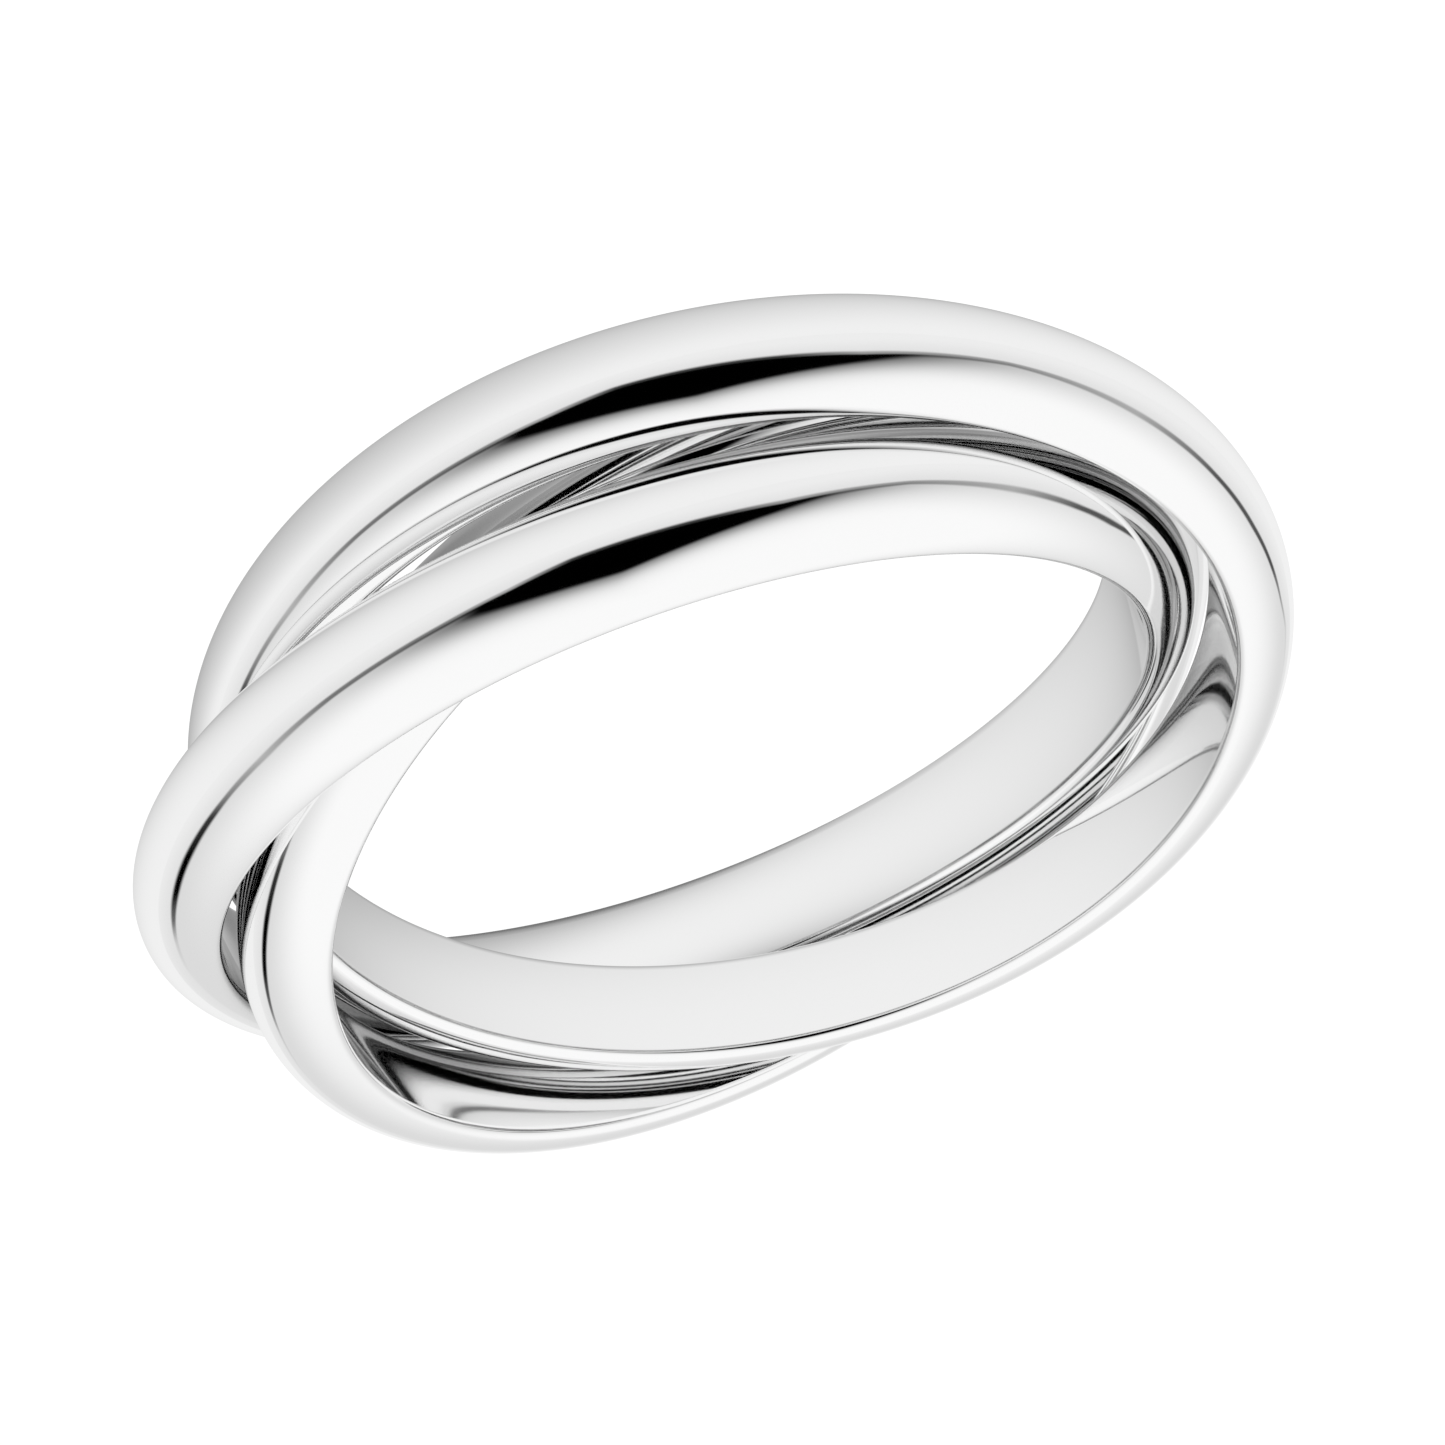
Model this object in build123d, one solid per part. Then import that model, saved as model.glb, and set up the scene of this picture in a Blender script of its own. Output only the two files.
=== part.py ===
# A rolling ring: three plain polished bands of one size, each linked through the other two.
# It lies on its side on a level surface, as a loose ring comes to rest, with its axis upright.
# The axis of the whole ring is Z, up is +Z, and the surface that it lies on is Z = 0.
# Lengths are in millimetres and angles in degrees.
import os
from math import asin, cos, radians, sin

from build123d import *

# Driving dimensions of one band
INNER_DIAMETER = 19.0  # across the flat inner wall
BAND_WIDTH = 2.5  # of the inner wall, along the band's own axis
BAND_THICKNESS = 1.38  # from the inner wall to the top of the crown
EDGE_RADIUS = 0.2  # where the inner wall turns into the crown

# How the bands lie in each other: the side that each band's axis leans to, counted from +X
# towards +Y, and how far it leans from the axis of the whole ring
BAND_ANGLES = {
    "first_band": (134.5, 11.0),
    "second_band": (243.5, 10.2),
    "third_band": (0.0, 9.1),
}
RUNNING_PLAY = 0.33  # where two bands cross, most of it taken up by their uneven leans

# Sizes that follow
INNER_RADIUS = INNER_DIAMETER / 2
HALF_WIDTH = BAND_WIDTH / 2
CROWN_RADIUS = (HALF_WIDTH**2 + BAND_THICKNESS**2) / (2 * BAND_THICKNESS)
CROWN_CENTRE = INNER_RADIUS + BAND_THICKNESS - CROWN_RADIUS
HALF_STEP = 180.0 / len(BAND_ANGLES)  # half the mean step from one band's side to the next
MEAN_LEAN = sum(lean for _, lean in BAND_ANGLES.values()) / len(BAND_ANGLES)


def centre_shift():
    """How far each band's centre stands off the ring's axis, so that crossing bands clear each other.

    Two bands face each other as far round from their crossing as it takes for them to part by half
    a band's width. There the shift between their centres still makes room for the inner band.
    """
    crossing_rise = 2 * sin(radians(MEAN_LEAN)) * sin(radians(HALF_STEP))
    crossing_reach = asin(HALF_WIDTH / (crossing_rise * (INNER_RADIUS + BAND_THICKNESS / 2)))
    between_centres = (BAND_THICKNESS + RUNNING_PLAY) / cos(crossing_reach)
    return between_centres / (2 * sin(radians(HALF_STEP)))


def rest_height(lean):
    """How high a band's centre is when the lowest point of its crown touches the surface."""
    return CROWN_CENTRE * sin(radians(lean)) + CROWN_RADIUS


def band_axis(side, lean):
    """The axis of the band that leans to this side, as a unit vector."""
    return Vector(0, 0, 1).rotate(Axis.Y, lean).rotate(Axis.Z, side)


def band_centre(side, lean):
    """The centre of the band that leans to this side, a quarter turn back from its lean."""
    return Vector(centre_shift(), 0, rest_height(lean)).rotate(Axis.Z, side - 90)


def band_section():
    """The half-round section: a flat inner wall, a crowned outside and two rounded edges."""
    low_edge = (INNER_RADIUS, -HALF_WIDTH)
    high_edge = (INNER_RADIUS, HALF_WIDTH)
    crown_top = (INNER_RADIUS + BAND_THICKNESS, 0)
    section = make_face([Line(high_edge, low_edge), ThreePointArc(low_edge, crown_top, high_edge)])
    return fillet(section.vertices(), EDGE_RADIUS)


def band(side, lean):
    """One band, turned about its own axis and set where it lies in the ring."""
    upright = revolve(Plane.XZ * band_section(), Axis.Z)
    return Plane(origin=band_centre(side, lean), z_dir=band_axis(side, lean)) * upright


def main():
    """Write each band to its own file."""
    os.makedirs("parts", exist_ok=True)
    for name, (side, lean) in BAND_ANGLES.items():
        export_step(band(side, lean), f"parts/{name}.step")


main()
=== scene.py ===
# A rolling ring of three linked bands, lying on a white table inside a small light tent.
# Everything is in metres. The ring's axis is Z, and the table is Z = 0.
from math import asin, cos, degrees, pi, radians, sin

import bmesh
import bpy
from bpy.props import FloatProperty, FloatVectorProperty, PointerProperty
from mathutils import Euler, Matrix, Quaternion, Vector


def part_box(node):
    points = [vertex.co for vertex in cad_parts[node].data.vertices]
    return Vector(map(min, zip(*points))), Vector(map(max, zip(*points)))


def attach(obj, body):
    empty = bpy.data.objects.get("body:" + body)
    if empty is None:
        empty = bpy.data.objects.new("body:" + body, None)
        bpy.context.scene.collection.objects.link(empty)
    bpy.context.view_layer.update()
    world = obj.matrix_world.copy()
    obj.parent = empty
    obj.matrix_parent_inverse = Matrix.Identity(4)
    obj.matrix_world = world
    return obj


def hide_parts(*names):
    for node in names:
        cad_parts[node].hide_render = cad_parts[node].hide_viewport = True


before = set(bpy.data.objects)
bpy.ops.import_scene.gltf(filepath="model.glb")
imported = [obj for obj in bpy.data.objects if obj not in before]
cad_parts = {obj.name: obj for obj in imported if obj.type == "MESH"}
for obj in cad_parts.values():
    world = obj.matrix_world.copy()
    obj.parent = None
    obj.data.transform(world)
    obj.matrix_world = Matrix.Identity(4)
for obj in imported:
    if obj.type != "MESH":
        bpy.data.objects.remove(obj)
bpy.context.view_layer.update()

bl_info = {
    "name": "Rolling Ring",
    "version": (1, 0, 0),
    "blender": (4, 5, 0),
    "location": "3D View > Sidebar > Ring",
    "description": "Makes a rolling ring of three polished bands and the studio that it lies in",
    "category": "Add Mesh",
}

MM = 0.001
FULL_TURN = 2 * pi

# The bands, each with the body that it rides on, the side that its axis leans to, and its lean
BANDS = (
    ("first_band", "first", radians(134.5), radians(11.0)),
    ("second_band", "second", radians(243.5), radians(10.2)),
    ("third_band", "third", radians(0), radians(9.1)),
)
HALF_STEP = pi / len(BANDS)
MEAN_LEAN = sum(lean for *_, lean in BANDS) / len(BANDS)

# How finely the bands are divided
CROWN_STEPS = 72
EDGE_STEPS = 10
WALL_MARGINS = (0.02 * MM, 0.12 * MM, 0.4 * MM)  # from the wall's end, so that its shading stays flat
SECTOR_STEPS = 30
SECTORS = 24
MERGE_DISTANCE = 1e-7
BOX_TOLERANCE = 0.00003

# Painted shade: the metal's colour is darkened where another band is close, though polished metal isn't
# darker there. How near the other band must be, and how shut in the place
PAINTED_SHADE_REACH = 0.5 * MM
PAINTED_SHADE_OPENNESS = (0.3, 0.9)
PAINTED_SHADE_LIGHT = 0.3
PAINTED_SHADE_SAMPLES = 4

# The marks that polishing leaves: fine lines along the band, and cloudy patches
LINE_WIDTH = 0.03 * MM
LINE_LENGTH = 6 * MM
LINE_DETAIL = 2.0
CLOUD_SIZE = 2.5 * MM
CLOUD_DETAIL = 3.0
EVEN_SHARE = 0.7  # of the roughness, with the rest from the marks
MARK_SHARE = 0.3


class BandSizes(bpy.types.PropertyGroup):
    """The sizes of one band, and how the three lie in each other."""

    inner_diameter: FloatProperty(
        name="Inner Diameter", description="Across the flat inner wall", default=19.0 * MM, unit="LENGTH"
    )
    width: FloatProperty(
        name="Width", description="Of the inner wall, along the band's axis", default=2.5 * MM, unit="LENGTH"
    )
    thickness: FloatProperty(
        name="Thickness", description="From the inner wall to the crown's top", default=1.38 * MM,
        unit="LENGTH",
    )
    edge_round: FloatProperty(
        name="Edge Round", description="Where the wall turns into the crown", default=0.2 * MM, unit="LENGTH"
    )
    running_play: FloatProperty(
        name="Running Play", description="Free room where two bands cross", default=0.33 * MM, unit="LENGTH"
    )


class FinishSettings(bpy.types.PropertyGroup):
    """The polish of the metal."""

    metal_colour: FloatVectorProperty(
        name="Metal", description="Colour of the polished metal", default=(0.95, 0.95, 0.95), size=3,
        subtype="COLOR", min=0, max=1,
    )
    roughness: FloatProperty(
        name="Roughness", description="Of the freshly polished metal", default=0.05,
        subtype="FACTOR", min=0, max=1,
    )
    line_depth: FloatProperty(
        name="Line Depth", description="Of the finest polishing lines", default=0.00002 * MM, unit="LENGTH"
    )


class StudioSettings(bpy.types.PropertyGroup):
    """The table, the light tent round it and the camera."""

    table_white: FloatProperty(
        name="Table White", description="Brightness of the table in the picture", default=1.06
    )
    table_glow: FloatProperty(
        name="Table Glow", description="Light that comes up from the table to the metal", default=0.915
    )
    tent_glow: FloatProperty(name="Tent Glow", description="Light of the tent's top", default=1.002)
    camera_azimuth: FloatProperty(
        name="Azimuth", description="Of the camera, from +X towards +Y", default=radians(81.004),
        subtype="ANGLE",
    )
    camera_elevation: FloatProperty(
        name="Elevation", description="Of the camera above the table", default=radians(32.119),
        subtype="ANGLE",
    )
    camera_roll: FloatProperty(
        name="Roll", description="Of the camera about its view", default=radians(155.683), subtype="ANGLE"
    )
    camera_distance: FloatProperty(
        name="Distance", description="From the ring's middle", default=69.874 * MM, unit="LENGTH"
    )
    middle_height: FloatProperty(
        name="Middle Height", description="Of the ring's middle over the table", default=2.944 * MM,
        unit="LENGTH",
    )


class Wire:
    """One output of a shader node. Plain arithmetic on it adds Math nodes."""

    def __init__(self, tree, socket):
        self.tree = tree
        self.socket = socket

    def maths(self, operation, first, second=None, third=None):
        values = {i: v for i, v in enumerate((first, second, third)) if v is not None}
        return add_node(self.tree, "ShaderNodeMath", {"operation": operation}, values)

    def __add__(self, other):
        return self.maths("ADD", self, other)

    def __radd__(self, other):
        return self.maths("ADD", other, self)

    def __sub__(self, other):
        return self.maths("SUBTRACT", self, other)

    def __rsub__(self, other):
        return self.maths("SUBTRACT", other, self)

    def __mul__(self, other):
        return self.maths("MULTIPLY", self, other)

    def __rmul__(self, other):
        return self.maths("MULTIPLY", other, self)

    def __truediv__(self, other):
        return self.maths("DIVIDE", self, other)

    def __rtruediv__(self, other):
        return self.maths("DIVIDE", other, self)

    def __pow__(self, other):
        return self.maths("POWER", self, other)

    def __abs__(self):
        return self.maths("ABSOLUTE", self)


def add_node(tree, kind, settings=None, inputs=None, output=0):
    """Add a node: its settings first, then a value or a Wire for each named or numbered socket."""
    node = tree.nodes.new(kind)
    for name, value in (settings or {}).items():
        if name == "stops":
            set_stops(node.color_ramp, value)
        else:
            setattr(node, name, value)
    for name, value in (inputs or {}).items():
        if isinstance(value, Wire):
            tree.links.new(value.socket, node.inputs[name])
        else:
            node.inputs[name].default_value = value
    return Wire(tree, node.outputs[output]) if node.outputs else node


def set_stops(ramp, stops):
    """Give a colour ramp its stops, each a place from 0 to 1 and a colour."""
    while len(ramp.elements) > 1:
        ramp.elements.remove(ramp.elements[-1])
    ramp.elements[0].position = stops[0][0]
    for place, _ in stops[1:]:
        ramp.elements.new(place)
    for element, (_, colour) in zip(ramp.elements, stops):
        element.color = (*colour, 1)


def smooth_step(value, low, high, start=0.0, end=1.0):
    """Ease from start to end while the value goes from low to high."""
    return add_node(
        value.tree, "ShaderNodeMapRange", {"interpolation_type": "SMOOTHSTEP"},
        {"Value": value, "From Min": low, "From Max": high, "To Min": start, "To Max": end},
    )


def new_material(name):
    """A material with an empty node tree."""
    material = bpy.data.materials.new(name)
    material.use_nodes = True
    material.node_tree.nodes.clear()
    return material


def split_vector(vector):
    """The three parts of a vector."""
    node = add_node(vector.tree, "ShaderNodeSeparateXYZ", None, {0: vector}).socket.node
    return [Wire(vector.tree, socket) for socket in node.outputs]


def crown_radius(sizes):
    """The radius of the crown's arc, which meets both ends of the inner wall."""
    half_width = sizes.width / 2
    return (half_width**2 + sizes.thickness**2) / (2 * sizes.thickness)


def crown_centre(sizes):
    """How far the middle of the crown's arc is from the band's axis."""
    return sizes.inner_diameter / 2 + sizes.thickness - crown_radius(sizes)


def band_centre(sizes, side, lean):
    """The centre of the band that leans to this side."""
    crossing_rise = 2 * sin(MEAN_LEAN) * sin(HALF_STEP)
    middle_radius = (sizes.inner_diameter + sizes.thickness) / 2
    crossing_reach = asin(sizes.width / 2 / (crossing_rise * middle_radius))
    between_centres = (sizes.thickness + sizes.running_play) / cos(crossing_reach)
    shift = between_centres / (2 * sin(HALF_STEP))
    height = crown_centre(sizes) * sin(lean) + crown_radius(sizes)
    return Matrix.Rotation(side - pi / 2, 3, "Z") @ Vector((shift, 0, height))


def band_turn(side, lean):
    """How the band that leans to this side is turned."""
    return Euler((0, lean, side))


def spin_on(bm, vert, centre, angle, steps):
    """Draw an arc on from a vertex in the XZ plane, and return its last vertex."""
    result = bmesh.ops.spin(
        bm, geom=[vert], cent=centre, axis=(0, 1, 0), angle=angle, steps=steps, use_duplicate=False
    )
    return next(item for item in result["geom_last"] if isinstance(item, bmesh.types.BMVert))


def draw_on(bm, vert, places):
    """Draw straight on from a vertex through these places, and return the last vertex."""
    for place in places:
        result = bmesh.ops.extrude_vert_indiv(bm, verts=[vert])
        vert = result["verts"][0]
        vert.co = place
    return vert


def draw_section(bm, sizes):
    """The band's section in the XZ plane: half the wall, an edge, the crown, an edge, half the wall."""
    inner = sizes.inner_diameter / 2
    edge = sizes.edge_round
    crown = crown_radius(sizes)
    middle = crown_centre(sizes)
    edge_inset = middle - inner - edge
    edge_height = ((crown - edge) ** 2 - edge_inset**2) ** 0.5
    crown_reach = asin(edge_inset / (crown - edge)) + pi / 2
    edge_turn = pi - crown_reach
    wall = [edge_height - margin for margin in WALL_MARGINS]
    start = bm.verts.new((inner, 0, 0))
    last = draw_on(bm, start, [(inner, 0, z) for z in (*reversed(wall), edge_height)])
    last = spin_on(bm, last, (inner + edge, 0, edge_height), edge_turn, EDGE_STEPS)
    last = spin_on(bm, last, (middle, 0, 0), 2 * crown_reach, CROWN_STEPS)
    last = spin_on(bm, last, (inner + edge, 0, -edge_height), edge_turn, EDGE_STEPS)
    draw_on(bm, last, [(inner, 0, -z) for z in wall] + [(inner, 0, 0)])


def make_band(name, body, side, lean, sizes, finish):
    """One band, spun from its section, in place of its plain solid."""
    bm = bmesh.new()
    draw_section(bm, sizes)
    bmesh.ops.remove_doubles(bm, verts=bm.verts, dist=MERGE_DISTANCE)
    axis = {"cent": (0, 0, 0), "axis": (0, 0, 1)}
    section = bm.verts[:] + bm.edges[:]
    bmesh.ops.spin(bm, geom=section, angle=FULL_TURN / SECTORS, steps=SECTOR_STEPS, **axis)
    sector = bm.verts[:] + bm.edges[:] + bm.faces[:]
    bmesh.ops.spin(bm, geom=sector, angle=FULL_TURN, steps=SECTORS, use_duplicate=True, **axis)
    bmesh.ops.remove_doubles(bm, verts=bm.verts, dist=MERGE_DISTANCE)
    bmesh.ops.recalc_face_normals(bm, faces=bm.faces)
    centre = band_centre(sizes, side, lean)
    turn = band_turn(side, lean)
    bmesh.ops.transform(bm, matrix=Matrix.Translation(centre) @ turn.to_matrix().to_4x4(), verts=bm.verts)
    for face in bm.faces:
        face.smooth = True
    piece = finish_piece(bm, f"{name}_polished", polished_metal(name, centre, turn, finish))
    check_place(piece, name)
    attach(piece, body)
    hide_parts(name)


def finish_piece(bm, name, material):
    """Turn a bmesh into an object at the origin, with its material."""
    mesh = bpy.data.meshes.new(name)
    bm.to_mesh(mesh)
    bm.free()
    mesh.materials.append(material)
    piece = bpy.data.objects.new(name, mesh)
    bpy.context.scene.collection.objects.link(piece)
    return piece


def check_place(piece, node):
    """Stop if a piece doesn't fill the same box as the solid that it stands for."""
    corners = [Vector(corner) for corner in piece.bound_box]
    low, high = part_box(node)
    for axis in range(3):
        values = [corner[axis] for corner in corners]
        if max(abs(min(values) - low[axis]), abs(max(values) - high[axis])) > BOX_TOLERANCE:
            raise ValueError(f"{piece.name} isn't where {node} is")


def polished_metal(name, centre, turn, finish):
    """Mirror-polished metal with the faint lines that polishing leaves along the band, and painted shade in
    its colour where another band is close.
    """
    material = new_material(f"polished_{name}")
    tree = material.node_tree
    place = add_node(tree, "ShaderNodeTexCoord", output="Object")
    own = add_node(
        tree, "ShaderNodeMapping", {"vector_type": "TEXTURE"},
        {"Vector": place, "Location": centre, "Rotation": turn},
    )
    x, y, z = split_vector(own)
    radius = (x * x + y * y) ** 0.5
    lines_place = add_node(
        tree, "ShaderNodeCombineXYZ", None, {0: x / LINE_LENGTH, 1: y / LINE_LENGTH, 2: z / LINE_WIDTH}
    )
    lines = add_node(
        tree, "ShaderNodeTexNoise", {"noise_dimensions": "4D"},
        {"Vector": lines_place, "W": radius / LINE_WIDTH, "Scale": 1.0, "Detail": LINE_DETAIL},
    )
    clouds = add_node(
        tree, "ShaderNodeTexNoise", None, {"Vector": own, "Scale": 1 / CLOUD_SIZE, "Detail": CLOUD_DETAIL}
    )
    roughness = finish.roughness * (EVEN_SHARE + MARK_SHARE * (clouds + lines))
    bump = add_node(
        tree, "ShaderNodeBump", None, {"Height": lines, "Distance": finish.line_depth, "Strength": 1.0}
    )
    # Painted shade: where another band is close, the base colour is darkened down to 30 percent of the
    # metal's colour
    openness = add_node(
        tree, "ShaderNodeAmbientOcclusion", {"samples": PAINTED_SHADE_SAMPLES}, {"Distance": PAINTED_SHADE_REACH},
        output="AO",
    )
    painted_shade_colour = [part * PAINTED_SHADE_LIGHT for part in finish.metal_colour]
    colour = add_node(
        tree, "ShaderNodeMix", {"data_type": "RGBA"},
        {0: smooth_step(openness, *PAINTED_SHADE_OPENNESS), 6: (*painted_shade_colour, 1), 7: (*finish.metal_colour, 1)},
        output=2,
    )
    shader = add_node(
        tree, "ShaderNodeBsdfPrincipled", None,
        {"Base Color": colour, "Metallic": 1.0, "Roughness": roughness, "Normal": bump},
    )
    add_node(tree, "ShaderNodeOutputMaterial", None, {"Surface": shader})
    return material


class RING_OT_make_bands(bpy.types.Operator):
    """Make the three polished bands"""

    bl_idname = "ring.make_bands"
    bl_label = "Make Bands"

    def execute(self, context):
        for name, body, side, lean in BANDS:
            make_band(name, body, side, lean, context.scene.ring_bands, context.scene.ring_finish)
        return {"FINISHED"}


# The table and the white far behind it are wide, and the tent stands close round the ring, so that
# each band mirrors it a little differently
TABLE_RADIUS = 0.9
TENT_RADIUS = 38 * MM
STAGE_STEPS = 128

# Angles in the tent's light are in degrees
FULL_CIRCLE = 360
HALF_CIRCLE = 180

# Where the tent's seam runs: azimuth and elevation, half its width, and how dark it is
SEAM = (
    (0, 21.8, 3.2, 0.45),
    (24, 19.5, 2.2, 0.6),
    (48, 23.8, 3.6, 0.6),
    (60, 22, 3.6, 0.95),
    (84, 16.2, 3.4, 0.95),
    (96, 19, 3.0, 0.5),
    (108, 19.6, 2.8, 0.75),
    (132, 18.2, 2.4, 0.75),
    (150, 19, 3.0, 0.4),
    (162, 17.3, 2.4, 0.7),
    (168, 16.4, 2.8, 0.95),
    (180, 14.1, 3.2, 1.0),
    (192, 12, 2.6, 1.0),
    (200, 10.6, 1.6, 0.8),
    (206, 9.5, 1.2, 0.2),
    (216, 7.5, 1.0, 0.0),
    (300, 7, 1.0, 0.0),
    (308, 10, 1.2, 0.15),
    (313, 15, 1.2, 0.5),
    (319, 17.6, 2.0, 0.9),
    (328, 20.8, 2.5, 0.88),
    (340, 22.3, 2.5, 0.88),
    (350, 22.3, 2.9, 0.68),
    (360, 21.8, 3.2, 0.45),
)
SEAM_UNITS = (90.0, 10.0, 1.0)
SEAM_BLUR = 1.0  # between the wall's light and the light above the seam
SEAM_EDGE = (0.4, 1.3)  # where the dark line starts and stops fading, in half widths

# The tent's light as a share of its glow: low on its walls, just under the seam, and just over it
WALL_LIGHT = 0.89
UNDER_SEAM = 0.89
UNDER_REACH = 18.0
LOW_SKY = 0.74
LOW_SKY_ENDS = (13.0, 51.0)

# The dark opening that the camera looks in through: azimuth and elevation of its middle, its reach
# sideways, up and down, how far its top leans aside for each degree up, how square its corners are,
# how steeply it fades, and where its black middle ends, as shares of those reaches
OPENING_MIDDLE = (72.7, 24.3)
OPENING_ASIDE = 41.0
OPENING_UP = 30.1
OPENING_DOWN = 139.0
OPENING_LEAN = 0.28
OPENING_CORNERS = 1.27
OPENING_FADE = 6.1
OPENING_EDGE = (0.72, 0.87)

# The soft shade of the ring on the table, as the polished metal sees it: darkest at this radius,
# and brighter again inside, round a middle of its own
SHADE_RADIUS = 9.85 * MM
SHADE_DEPTH = 0.62
SHADE_OUTWARD = 2.3 * MM
SHADE_INWARD = 4.1 * MM
SHADE_MIDDLE = (0.3 * MM, -1.65 * MM)
SHADE_HEIGHT = 0.005 * MM


def glow_material(name, strength, share):
    """A surface that glows with this strength. The share of it, if any, is worked out from the place."""
    material = new_material(name)
    tree = material.node_tree
    place = add_node(tree, "ShaderNodeTexCoord", output="Object")
    colour = share(place) if share else (1, 1, 1, 1)
    shader = add_node(tree, "ShaderNodeEmission", None, {"Color": colour, "Strength": strength})
    add_node(tree, "ShaderNodeOutputMaterial", None, {"Surface": shader})
    return material


def camera_rest(studio):
    """Where the camera stands, as a matrix."""
    middle = Vector((0, 0, studio.middle_height))
    level = cos(studio.camera_elevation)
    aside, back = level * cos(studio.camera_azimuth), level * sin(studio.camera_azimuth)
    away = Vector((aside, back, sin(studio.camera_elevation)))
    turn = away.to_track_quat("Z", "Y") @ Quaternion((0, 0, 1), studio.camera_roll)
    return Matrix.Translation(middle + away * studio.camera_distance) @ turn.to_matrix().to_4x4()


def opening_light(azimuth, elevation):
    """How much of the tent's light is left near the opening that the camera looks through."""
    up = elevation - OPENING_MIDDLE[1]
    turned = azimuth - OPENING_MIDDLE[0] + (FULL_CIRCLE + HALF_CIRCLE)
    aside = turned.maths("FLOORED_MODULO", turned, FULL_CIRCLE) - HALF_CIRCLE - up * OPENING_LEAN
    across = abs(aside) / OPENING_ASIDE
    along = up.maths("MAXIMUM", up / OPENING_UP, up / -OPENING_DOWN)
    away = (across**OPENING_CORNERS + along**OPENING_CORNERS) ** (1 / OPENING_CORNERS)
    faded = away**OPENING_FADE
    return faded / (1 + faded) * smooth_step(away, *OPENING_EDGE)


def seam_parts(azimuth):
    """The seam's elevation, half its width and its darkness at this azimuth."""
    stops = [(row[0] / FULL_CIRCLE, [v / unit for v, unit in zip(row[1:], SEAM_UNITS)]) for row in SEAM]
    ramp = add_node(azimuth.tree, "ShaderNodeValToRGB", {"stops": stops}, {0: azimuth / FULL_CIRCLE})
    parts = add_node(azimuth.tree, "ShaderNodeSeparateColor", None, {0: ramp}).socket.node
    return [Wire(azimuth.tree, socket) * unit for socket, unit in zip(parts.outputs, SEAM_UNITS)]


def tent_light(place):
    """The share of the tent's light at a place: plain below its seam and white above it."""
    outward = add_node(place.tree, "ShaderNodeVectorMath", {"operation": "NORMALIZE"}, {0: place})
    x, y, z = split_vector(outward)
    elevation = z.maths("ARCSINE", z) * degrees(1)
    turn = y.maths("ARCTAN2", y, x) * degrees(1)
    azimuth = turn.maths("FLOORED_MODULO", turn + FULL_CIRCLE, FULL_CIRCLE)
    seam, width, dark = seam_parts(azimuth)
    above = smooth_step(elevation - seam, -SEAM_BLUR, SEAM_BLUR)
    line = smooth_step(abs(elevation - seam) / width, *SEAM_EDGE, 1.0, 0.0) * dark
    sky = smooth_step(elevation, *LOW_SKY_ENDS, LOW_SKY, 1.0) * opening_light(azimuth, elevation)
    wall = smooth_step(seam - elevation, 0, UNDER_REACH, UNDER_SEAM * WALL_LIGHT, WALL_LIGHT)
    return (wall + (sky - wall) * above) * (1 - line)


def shaded_light(place):
    """The share of the table's light that the ring's soft shade leaves at a place."""
    x, y, _ = split_vector(place)
    off_x, off_y = x - SHADE_MIDDLE[0], y - SHADE_MIDDLE[1]
    radius = (x * x + y * y) ** 0.5
    inner_radius = (off_x * off_x + off_y * off_y) ** 0.5
    outward = x.maths("MAXIMUM", radius - SHADE_RADIUS, 0) / SHADE_OUTWARD
    inward = x.maths("MAXIMUM", SHADE_RADIUS - inner_radius, 0) / SHADE_INWARD
    return 1 - SHADE_DEPTH * x.maths("EXPONENT", 0 - outward - inward * inward)


def make_table_disc(name, height, material):
    """One round level surface of the table."""
    bm = bmesh.new()
    place = Matrix.Translation((0, 0, height))
    bmesh.ops.create_circle(bm, cap_ends=True, radius=TABLE_RADIUS, segments=STAGE_STEPS, matrix=place)
    disc = finish_piece(bm, name, material)
    return disc


def make_table(studio):
    """The white table, and on it the table that the metal sees, with the ring's soft shade."""
    make_table_disc("table", 0, glow_material("table_white", studio.table_white, None))
    shaded = glow_material("table_shaded", studio.table_glow, shaded_light)
    make_table_disc("table_shade", SHADE_HEIGHT, shaded).visible_camera = False


def make_dome(name, radius, material):
    """Half a sphere over the table, lit inside."""
    bm = bmesh.new()
    bmesh.ops.create_uvsphere(bm, u_segments=STAGE_STEPS, v_segments=STAGE_STEPS // 2, radius=radius)
    everything = bm.verts[:] + bm.edges[:] + bm.faces[:]
    bmesh.ops.bisect_plane(bm, geom=everything, plane_co=(0, 0, 0), plane_no=(0, 0, 1), clear_inner=True)
    bmesh.ops.reverse_faces(bm, faces=bm.faces)
    dome = finish_piece(bm, name, material)
    return dome


def make_tent(studio):
    """The small tent, which only the metal sees, and the plain white far behind it."""
    make_dome("backdrop", TABLE_RADIUS, glow_material("backdrop_white", studio.table_white, None))
    tent = make_dome("tent", TENT_RADIUS, glow_material("tent_light", studio.tent_glow, tent_light))
    tent.visible_camera = False


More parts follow.
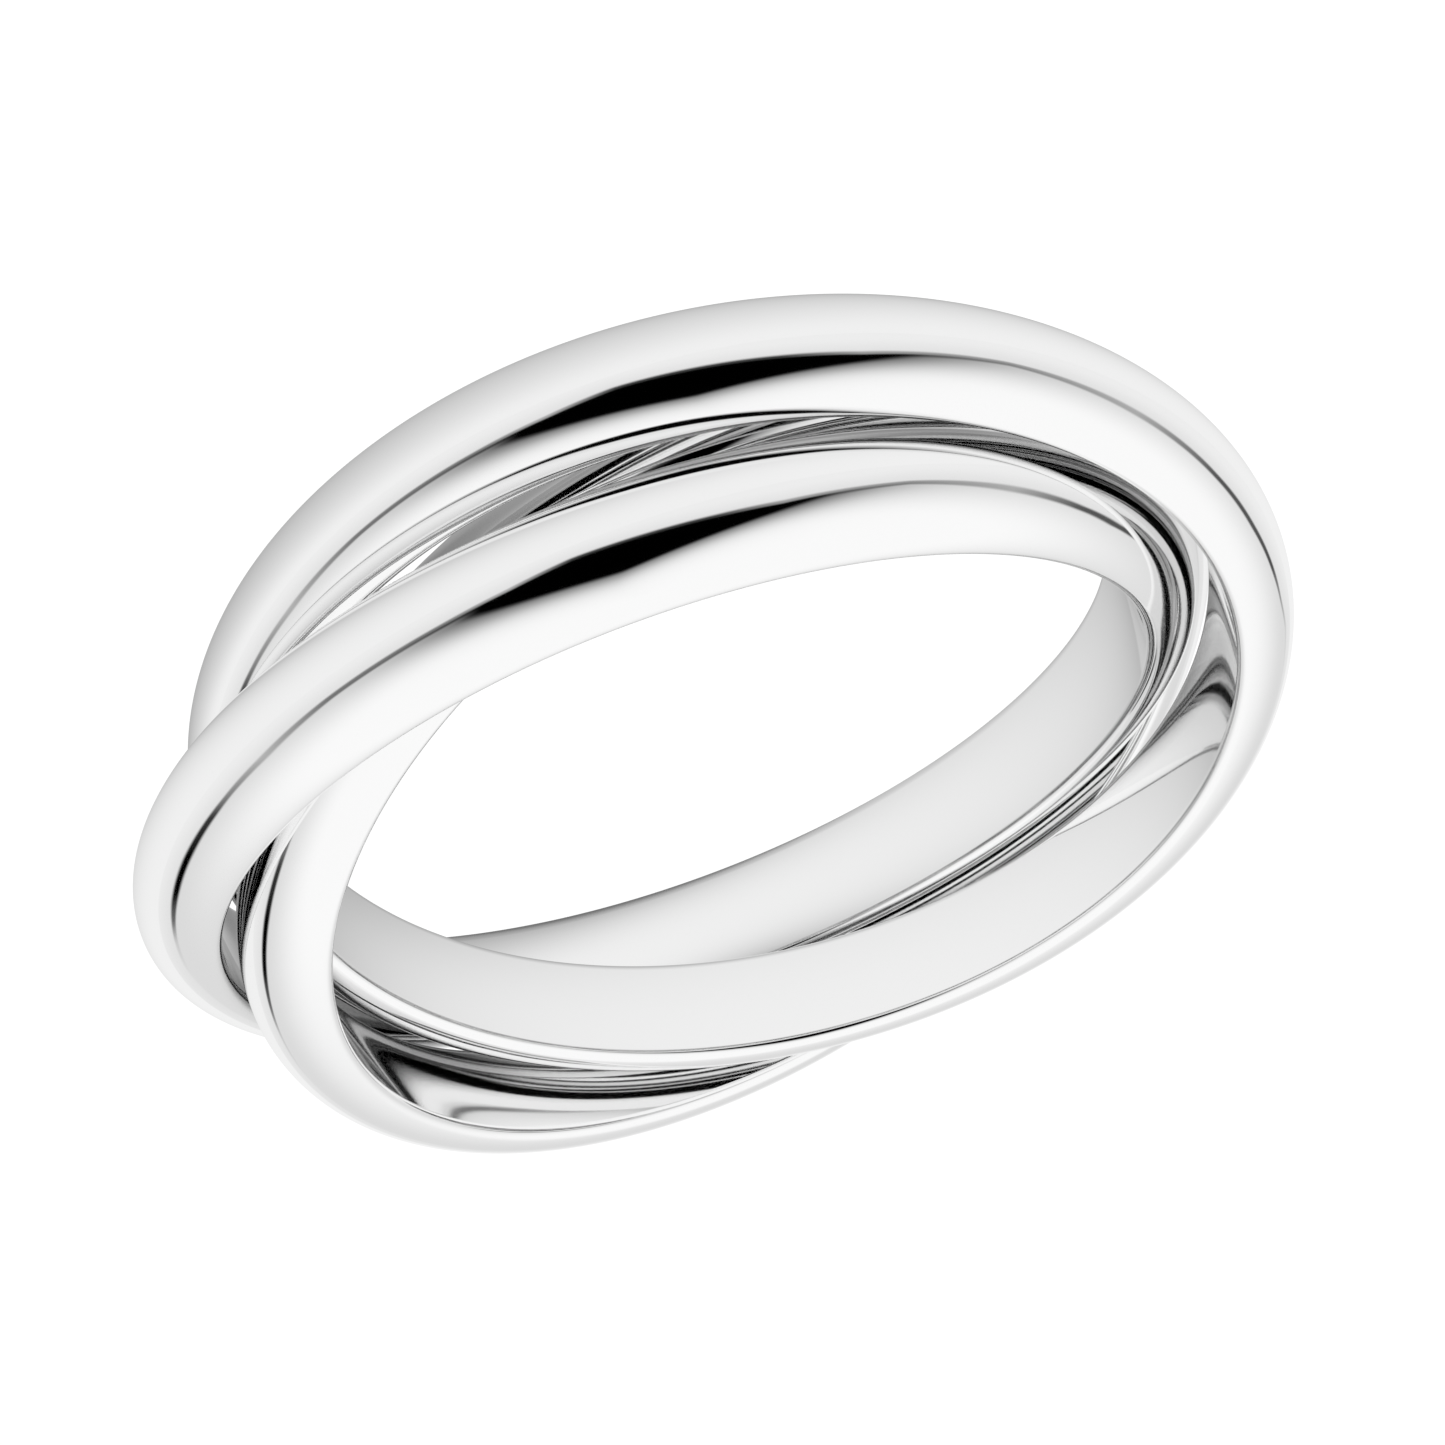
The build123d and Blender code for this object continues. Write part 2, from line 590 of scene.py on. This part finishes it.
# The camera's lens, and how far the ring lies off the middle of the picture, in its 1445 pixels
PICTURE_WIDTH = 1445
RING_RIGHT_PX = 3.82
RING_DOWN_PX = 29.17
SENSOR_WIDTH = 36
LENS = 88.04
NEAREST_SEEN = 5 * MM
FARTHEST_SEEN = 4 * TABLE_RADIUS


def make_camera(studio):
    """The camera, which looks down at the ring from the table's far side, turned over."""
    data = bpy.data.cameras.new("camera")
    data.sensor_width = SENSOR_WIDTH
    data.lens = LENS
    data.shift_x = -RING_RIGHT_PX / PICTURE_WIDTH
    data.shift_y = RING_DOWN_PX / PICTURE_WIDTH
    data.clip_start = NEAREST_SEEN
    data.clip_end = FARTHEST_SEEN
    camera = bpy.data.objects.new("camera", data)
    camera.matrix_world = camera_rest(studio)
    bpy.context.scene.collection.objects.link(camera)
    bpy.context.scene.camera = camera


class RING_OT_make_studio(bpy.types.Operator):
    """Make the table, the light tent and the camera"""

    bl_idname = "ring.make_studio"
    bl_label = "Make Studio"

    def execute(self, context):
        studio = context.scene.ring_studio
        make_table(studio)
        make_tent(studio)
        make_camera(studio)
        context.scene.view_settings.view_transform = "Standard"
        return {"FINISHED"}


class RING_PT_panel(bpy.types.Panel):
    """The ring's panel in the sidebar"""

    bl_label = "Rolling Ring"
    bl_idname = "RING_PT_panel"
    bl_space_type = "VIEW_3D"
    bl_region_type = "UI"
    bl_category = "Ring"

    def draw(self, context):
        for operator in (RING_OT_make_bands, RING_OT_make_studio):
            self.layout.operator(operator.bl_idname)
        for group in (context.scene.ring_bands, context.scene.ring_finish, context.scene.ring_studio):
            box = self.layout.box()
            for name in type(group).__annotations__:
                box.prop(group, name)


CLASSES = (BandSizes, FinishSettings, StudioSettings, RING_OT_make_bands, RING_OT_make_studio, RING_PT_panel)
GROUPS = {"ring_bands": BandSizes, "ring_finish": FinishSettings, "ring_studio": StudioSettings}


def register():
    for cls in CLASSES:
        bpy.utils.register_class(cls)
    for name, group in GROUPS.items():
        setattr(bpy.types.Scene, name, PointerProperty(type=group))


def unregister():
    for name in GROUPS:
        delattr(bpy.types.Scene, name)
    for cls in reversed(CLASSES):
        bpy.utils.unregister_class(cls)


def main():
    register()
    bpy.ops.ring.make_studio()
    bpy.ops.ring.make_bands()


if __name__ == "__main__":
    main()
